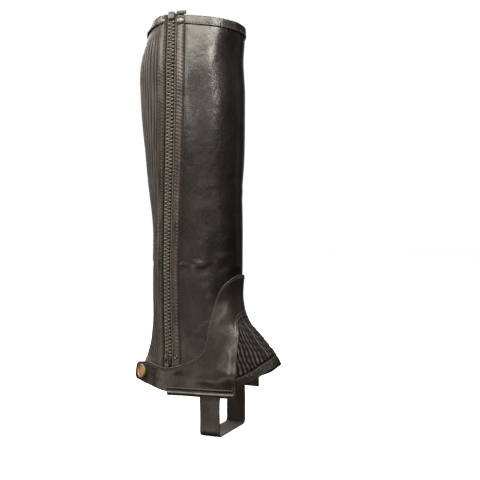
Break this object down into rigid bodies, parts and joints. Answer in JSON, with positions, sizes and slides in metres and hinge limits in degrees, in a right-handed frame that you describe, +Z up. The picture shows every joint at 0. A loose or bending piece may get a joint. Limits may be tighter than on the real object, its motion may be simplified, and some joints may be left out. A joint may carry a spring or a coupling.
{
  "type": "leather half chap",
  "caption": "Fitted leather gaiter for the calf, worn form, with a rear-outer zip, pleated stretch panel, ribbed elastic instep, snap strap and strap under the sole",
  "frame": {"origin": "the middle of the calf, on the leg's axis, 340 mm above the hem", "axes": "+X to the toe, -Y to the outer side of the right leg, +Z up the leg"},
  "size_m": [0.172, 0.1172, 0.4619],
  "materials": {
    "leather": "smooth brown-black grain leather with a low sheen",
    "stretch_fabric": "pleated stretch fabric, dull",
    "elastic": "ribbed black-brown elastic, matte",
    "strap": "smooth dark strap leather",
    "zip_tape": "woven dark tape",
    "zip_plastic": "moulded dark brown zip teeth",
    "zip_metal": "dark lacquered metal",
    "brass": "worn brass, softly polished"
  },
  "bodies": {
    "root": {"front_panel": "leather", "ankle_panel": "leather", "placket_front": "leather", "placket_rear": "leather", "top_binding": "leather", "hem_trim_outer": "leather", "hem_trim_inner": "leather", "stretch_panel": "stretch_fabric", "instep_gusset": "elastic", "gusset_band": "elastic", "stirrup_strap": "strap", "zip_tape_front": "zip_tape", "zip_tape_rear": "zip_tape", "tape_end": "zip_tape", "zip_chain": "zip_plastic", "zip_box": "zip_plastic", "zip_slider": "zip_metal", "zip_bridge": "zip_metal", "zip_pull": "zip_metal", "rivet_top_front": "zip_metal", "rivet_top_rear": "zip_metal", "rivet_bottom_front": "zip_metal", "snap_cap": "brass", "snap_socket": "brass"}
  },
  "joints": []
}
